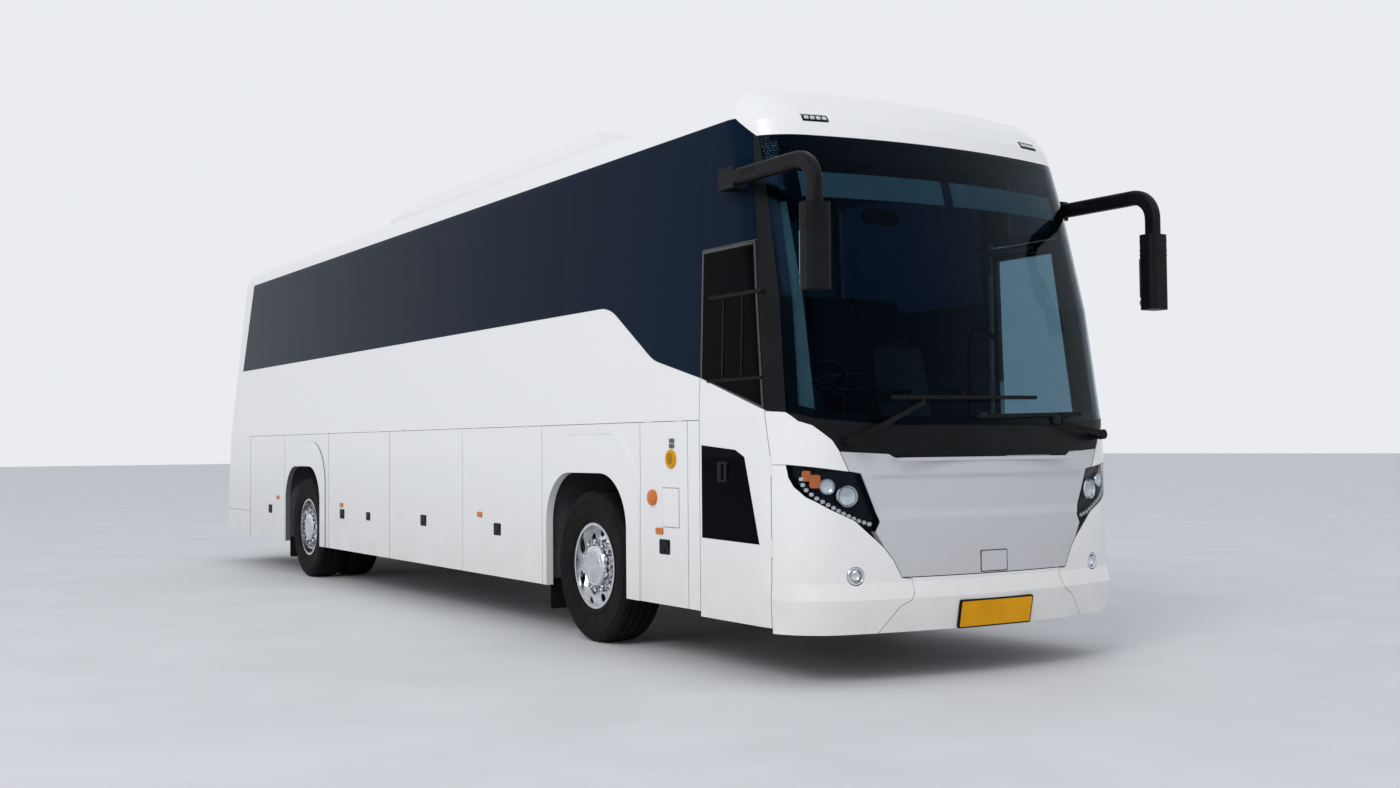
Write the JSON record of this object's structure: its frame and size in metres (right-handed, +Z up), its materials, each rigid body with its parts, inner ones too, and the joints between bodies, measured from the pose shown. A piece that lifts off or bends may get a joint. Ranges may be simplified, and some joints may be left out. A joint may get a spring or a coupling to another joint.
{
  "type": "coach bus",
  "caption": "High-deck touring coach with hinged luggage flaps, swinging doors, steered front wheels, twin rear wheels and a roof unit.",
  "frame": {"origin": "on the ground, on the centreline, half way along the whole length with the mirrors", "axes": "+Z up; the front of the coach at -Y; +X is the coach's left side"},
  "size_m": [2.734, 12.25, 3.7],
  "materials": {
    "white_paint": "gloss",
    "grey_paint": "satin",
    "black_trim": "satin",
    "tinted_glass": "gloss",
    "clear_glass": "gloss",
    "lamp_lens": "gloss",
    "rear_lens": "gloss",
    "chassis_paint": "satin",
    "axle_iron": "rough",
    "arm_steel": "satin",
    "wheel_paint": "satin",
    "tyre": "matte",
    "floor_board": "matte",
    "dash_plastic": "matte",
    "seat_leather": "satin",
    "seat_fabric": "matte"
  },
  "bodies": {
    "coach_body": {"air_conditioning_fairing": "white_paint", "body_floor": "floor_board", "chassis_frame": "chassis_paint", "crew_seats": "seat_leather", "dashboard": "dash_plastic", "door_headers": "black_trim", "engine_block": "axle_iron", "front_axle_beam": "axle_iron", "front_frame": "chassis_paint", "front_lamps": "lamp_lens", "front_panels": "white_paint", "mirrors": "black_trim", "rear_axle": "axle_iron", "rear_lamps": "rear_lens", "rear_wall": "white_paint", "rear_window": "tinted_glass", "roof": "white_paint", "saloon_seats": "seat_fabric", "side_glass": "tinted_glass", "side_wall_left": "white_paint", "side_wall_right": "white_paint", "skirts": "white_paint", "steering_wheel": "dash_plastic", "windscreen": "clear_glass", "windscreen_surround": "black_trim"},
    "luggage_flap_front_left": {"luggage_flap_front_left": "white_paint"},
    "luggage_flap_front_right": {"luggage_flap_front_right": "white_paint"},
    "luggage_flap_middle_left": {"luggage_flap_middle_left": "white_paint"},
    "luggage_flap_middle_right": {"luggage_flap_middle_right": "white_paint"},
    "luggage_flap_rear_left": {"luggage_flap_rear_left": "white_paint"},
    "luggage_flap_rear_right": {"luggage_flap_rear_right": "white_paint"},
    "engine_side_flap_left": {"engine_side_flap_left": "white_paint"},
    "engine_side_flap_right": {"engine_side_flap_right": "white_paint"},
    "service_flap_right": {"service_flap_right": "white_paint"},
    "engine_lid": {"engine_lid": "white_paint"},
    "lid_arms": {"front_lid_arms": "arm_steel"},
    "front_lid": {"front_lid": "white_paint"},
    "driver_door": {"driver_door": "white_paint", "driver_door_glass": "tinted_glass"},
    "door_arm": {"door_swing_arm": "arm_steel"},
    "passenger_door": {"passenger_door": "white_paint", "passenger_door_glass": "tinted_glass"},
    "knuckle_left": {"steering_knuckle_left": "axle_iron"},
    "knuckle_right": {"steering_knuckle_right": "axle_iron"},
    "track_rod": {"track_rod": "arm_steel"},
    "front_wheel_left": {"front_wheel_left": "wheel_paint", "front_tyre_left": "tyre"},
    "front_wheel_right": {"front_wheel_right": "wheel_paint", "front_tyre_right": "tyre"},
    "rear_wheel_left": {"rear_wheel_left": "wheel_paint", "rear_tyres_left": "tyre"},
    "rear_wheel_right": {"rear_wheel_right": "wheel_paint", "rear_tyres_right": "tyre"},
    "wiper_left": {"wiper_left": "black_trim"},
    "wiper_right": {"wiper_right": "black_trim"}
  },
  "joints": [
    {"name": "luggage_flap_front_left_hinge", "type": "hinge", "parent": "coach_body", "child": "luggage_flap_front_left", "pos_m": [1.269, -1.98, 1.475], "axis": [0, -1, 0], "range_deg": [0, 85]},
    {"name": "luggage_flap_front_right_hinge", "type": "hinge", "parent": "coach_body", "child": "luggage_flap_front_right", "pos_m": [-1.269, -1.98, 1.475], "axis": [0, 1, 0], "range_deg": [0, 85]},
    {"name": "luggage_flap_middle_left_hinge", "type": "hinge", "parent": "coach_body", "child": "luggage_flap_middle_left", "pos_m": [1.269, -0.4, 1.475], "axis": [0, -1, 0], "range_deg": [0, 85]},
    {"name": "luggage_flap_middle_right_hinge", "type": "hinge", "parent": "coach_body", "child": "luggage_flap_middle_right", "pos_m": [-1.269, -0.4, 1.475], "axis": [0, 1, 0], "range_deg": [0, 85]},
    {"name": "luggage_flap_rear_left_hinge", "type": "hinge", "parent": "coach_body", "child": "luggage_flap_rear_left", "pos_m": [1.269, 1.27, 1.475], "axis": [0, -1, 0], "range_deg": [0, 85]},
    {"name": "luggage_flap_rear_right_hinge", "type": "hinge", "parent": "coach_body", "child": "luggage_flap_rear_right", "pos_m": [-1.269, 1.27, 1.475], "axis": [0, 1, 0], "range_deg": [0, 85]},
    {"name": "engine_side_flap_left_hinge", "type": "hinge", "parent": "coach_body", "child": "engine_side_flap_left", "pos_m": [1.269, 4.29, 1.475], "axis": [0, -1, 0], "range_deg": [0, 85]},
    {"name": "engine_side_flap_right_hinge", "type": "hinge", "parent": "coach_body", "child": "engine_side_flap_right", "pos_m": [-1.269, 4.29, 1.475], "axis": [0, 1, 0], "range_deg": [0, 85]},
    {"name": "service_flap_right_hinge", "type": "hinge", "parent": "coach_body", "child": "service_flap_right", "pos_m": [-1.269, -4.426, 1.475], "axis": [0, 1, 0], "range_deg": [0, 85]},
    {"name": "engine_lid_hinge", "type": "hinge", "parent": "coach_body", "child": "engine_lid", "pos_m": [0, 5.951, 1.5565], "axis": [1, 0, 0], "range_deg": [0, 80]},
    {"name": "lid_arms_hinge", "type": "hinge", "parent": "coach_body", "child": "lid_arms", "pos_m": [0, -5.775, 1.12], "axis": [-1, 0, 0], "range_deg": [0, 95]},
    {"name": "front_lid_hinge", "type": "hinge", "parent": "lid_arms", "child": "front_lid", "pos_m": [0, -5.755, 0.74], "axis": [-1, 0, 0], "range_deg": [-95, 0]},
    {"name": "driver_door_hinge", "type": "hinge", "parent": "coach_body", "child": "driver_door", "pos_m": [-1.261, -5.581, 1.4], "axis": [0, 0, 1], "range_deg": [0, 80]},
    {"name": "door_arm_swing", "type": "hinge", "parent": "coach_body", "child": "door_arm", "pos_m": [1.15, -4.756, 1.5], "axis": [0, 0, 1], "range_deg": [0, 150]},
    {"name": "passenger_door_hinge", "type": "hinge", "parent": "door_arm", "child": "passenger_door", "pos_m": [1.135, -5.186, 1.5], "axis": [0, 0, 1], "range_deg": [-150, 0]},
    {"name": "steer_left", "type": "hinge", "parent": "coach_body", "child": "knuckle_left", "pos_m": [1, -3.375, 0.515], "axis": [0, 0, 1], "range_deg": [-45, 45]},
    {"name": "steer_right", "type": "hinge", "parent": "coach_body", "child": "knuckle_right", "pos_m": [-1, -3.375, 0.515], "axis": [0, 0, 1], "range_deg": [-45, 45]},
    {"name": "track_rod_ball", "type": "hinge", "parent": "knuckle_left", "child": "track_rod", "pos_m": [0.91, -3.135, 0.373], "axis": [0, 0, 1], "range_deg": [-48.91, 48.91]},
    {"name": "front_wheel_left_spin", "type": "hinge", "parent": "knuckle_left", "child": "front_wheel_left", "pos_m": [1.0775, -3.375, 0.515], "axis": [1, 0, 0], "continuous": true},
    {"name": "front_wheel_right_spin", "type": "hinge", "parent": "knuckle_right", "child": "front_wheel_right", "pos_m": [-1.0775, -3.375, 0.515], "axis": [1, 0, 0], "continuous": true},
    {"name": "rear_wheel_left_spin", "type": "hinge", "parent": "coach_body", "child": "rear_wheel_left", "pos_m": [0.9075, 2.975, 0.515], "axis": [1, 0, 0], "continuous": true},
    {"name": "rear_wheel_right_spin", "type": "hinge", "parent": "coach_body", "child": "rear_wheel_right", "pos_m": [-0.9075, 2.975, 0.515], "axis": [1, 0, 0], "continuous": true},
    {"name": "wiper_right_pivot", "type": "hinge", "parent": "coach_body", "child": "wiper_right", "pos_m": [-0.948, -5.93104, 1.346], "axis": [-0.0435, -0.9966, 0.0698], "range_deg": [0, 80]},
    {"name": "wiper_left_pivot", "type": "hinge", "parent": "coach_body", "child": "wiper_left", "pos_m": [0.957, -5.91483, 1.369], "axis": [0.0824, -0.992, 0.0958], "range_deg": [-80, 0]}
  ],
  "couplings": [
    {"joint": "front_lid_hinge", "follows": "lid_arms_hinge", "ratio": -1},
    {"joint": "passenger_door_hinge", "follows": "door_arm_swing", "ratio": -1},
    {"joint": "steer_right", "follows": "steer_left", "ratio": 1},
    {"joint": "track_rod_ball", "follows": "steer_left", "ratio": -1.087},
    {"joint": "wiper_left_pivot", "follows": "wiper_right_pivot", "ratio": -1}
  ]
}
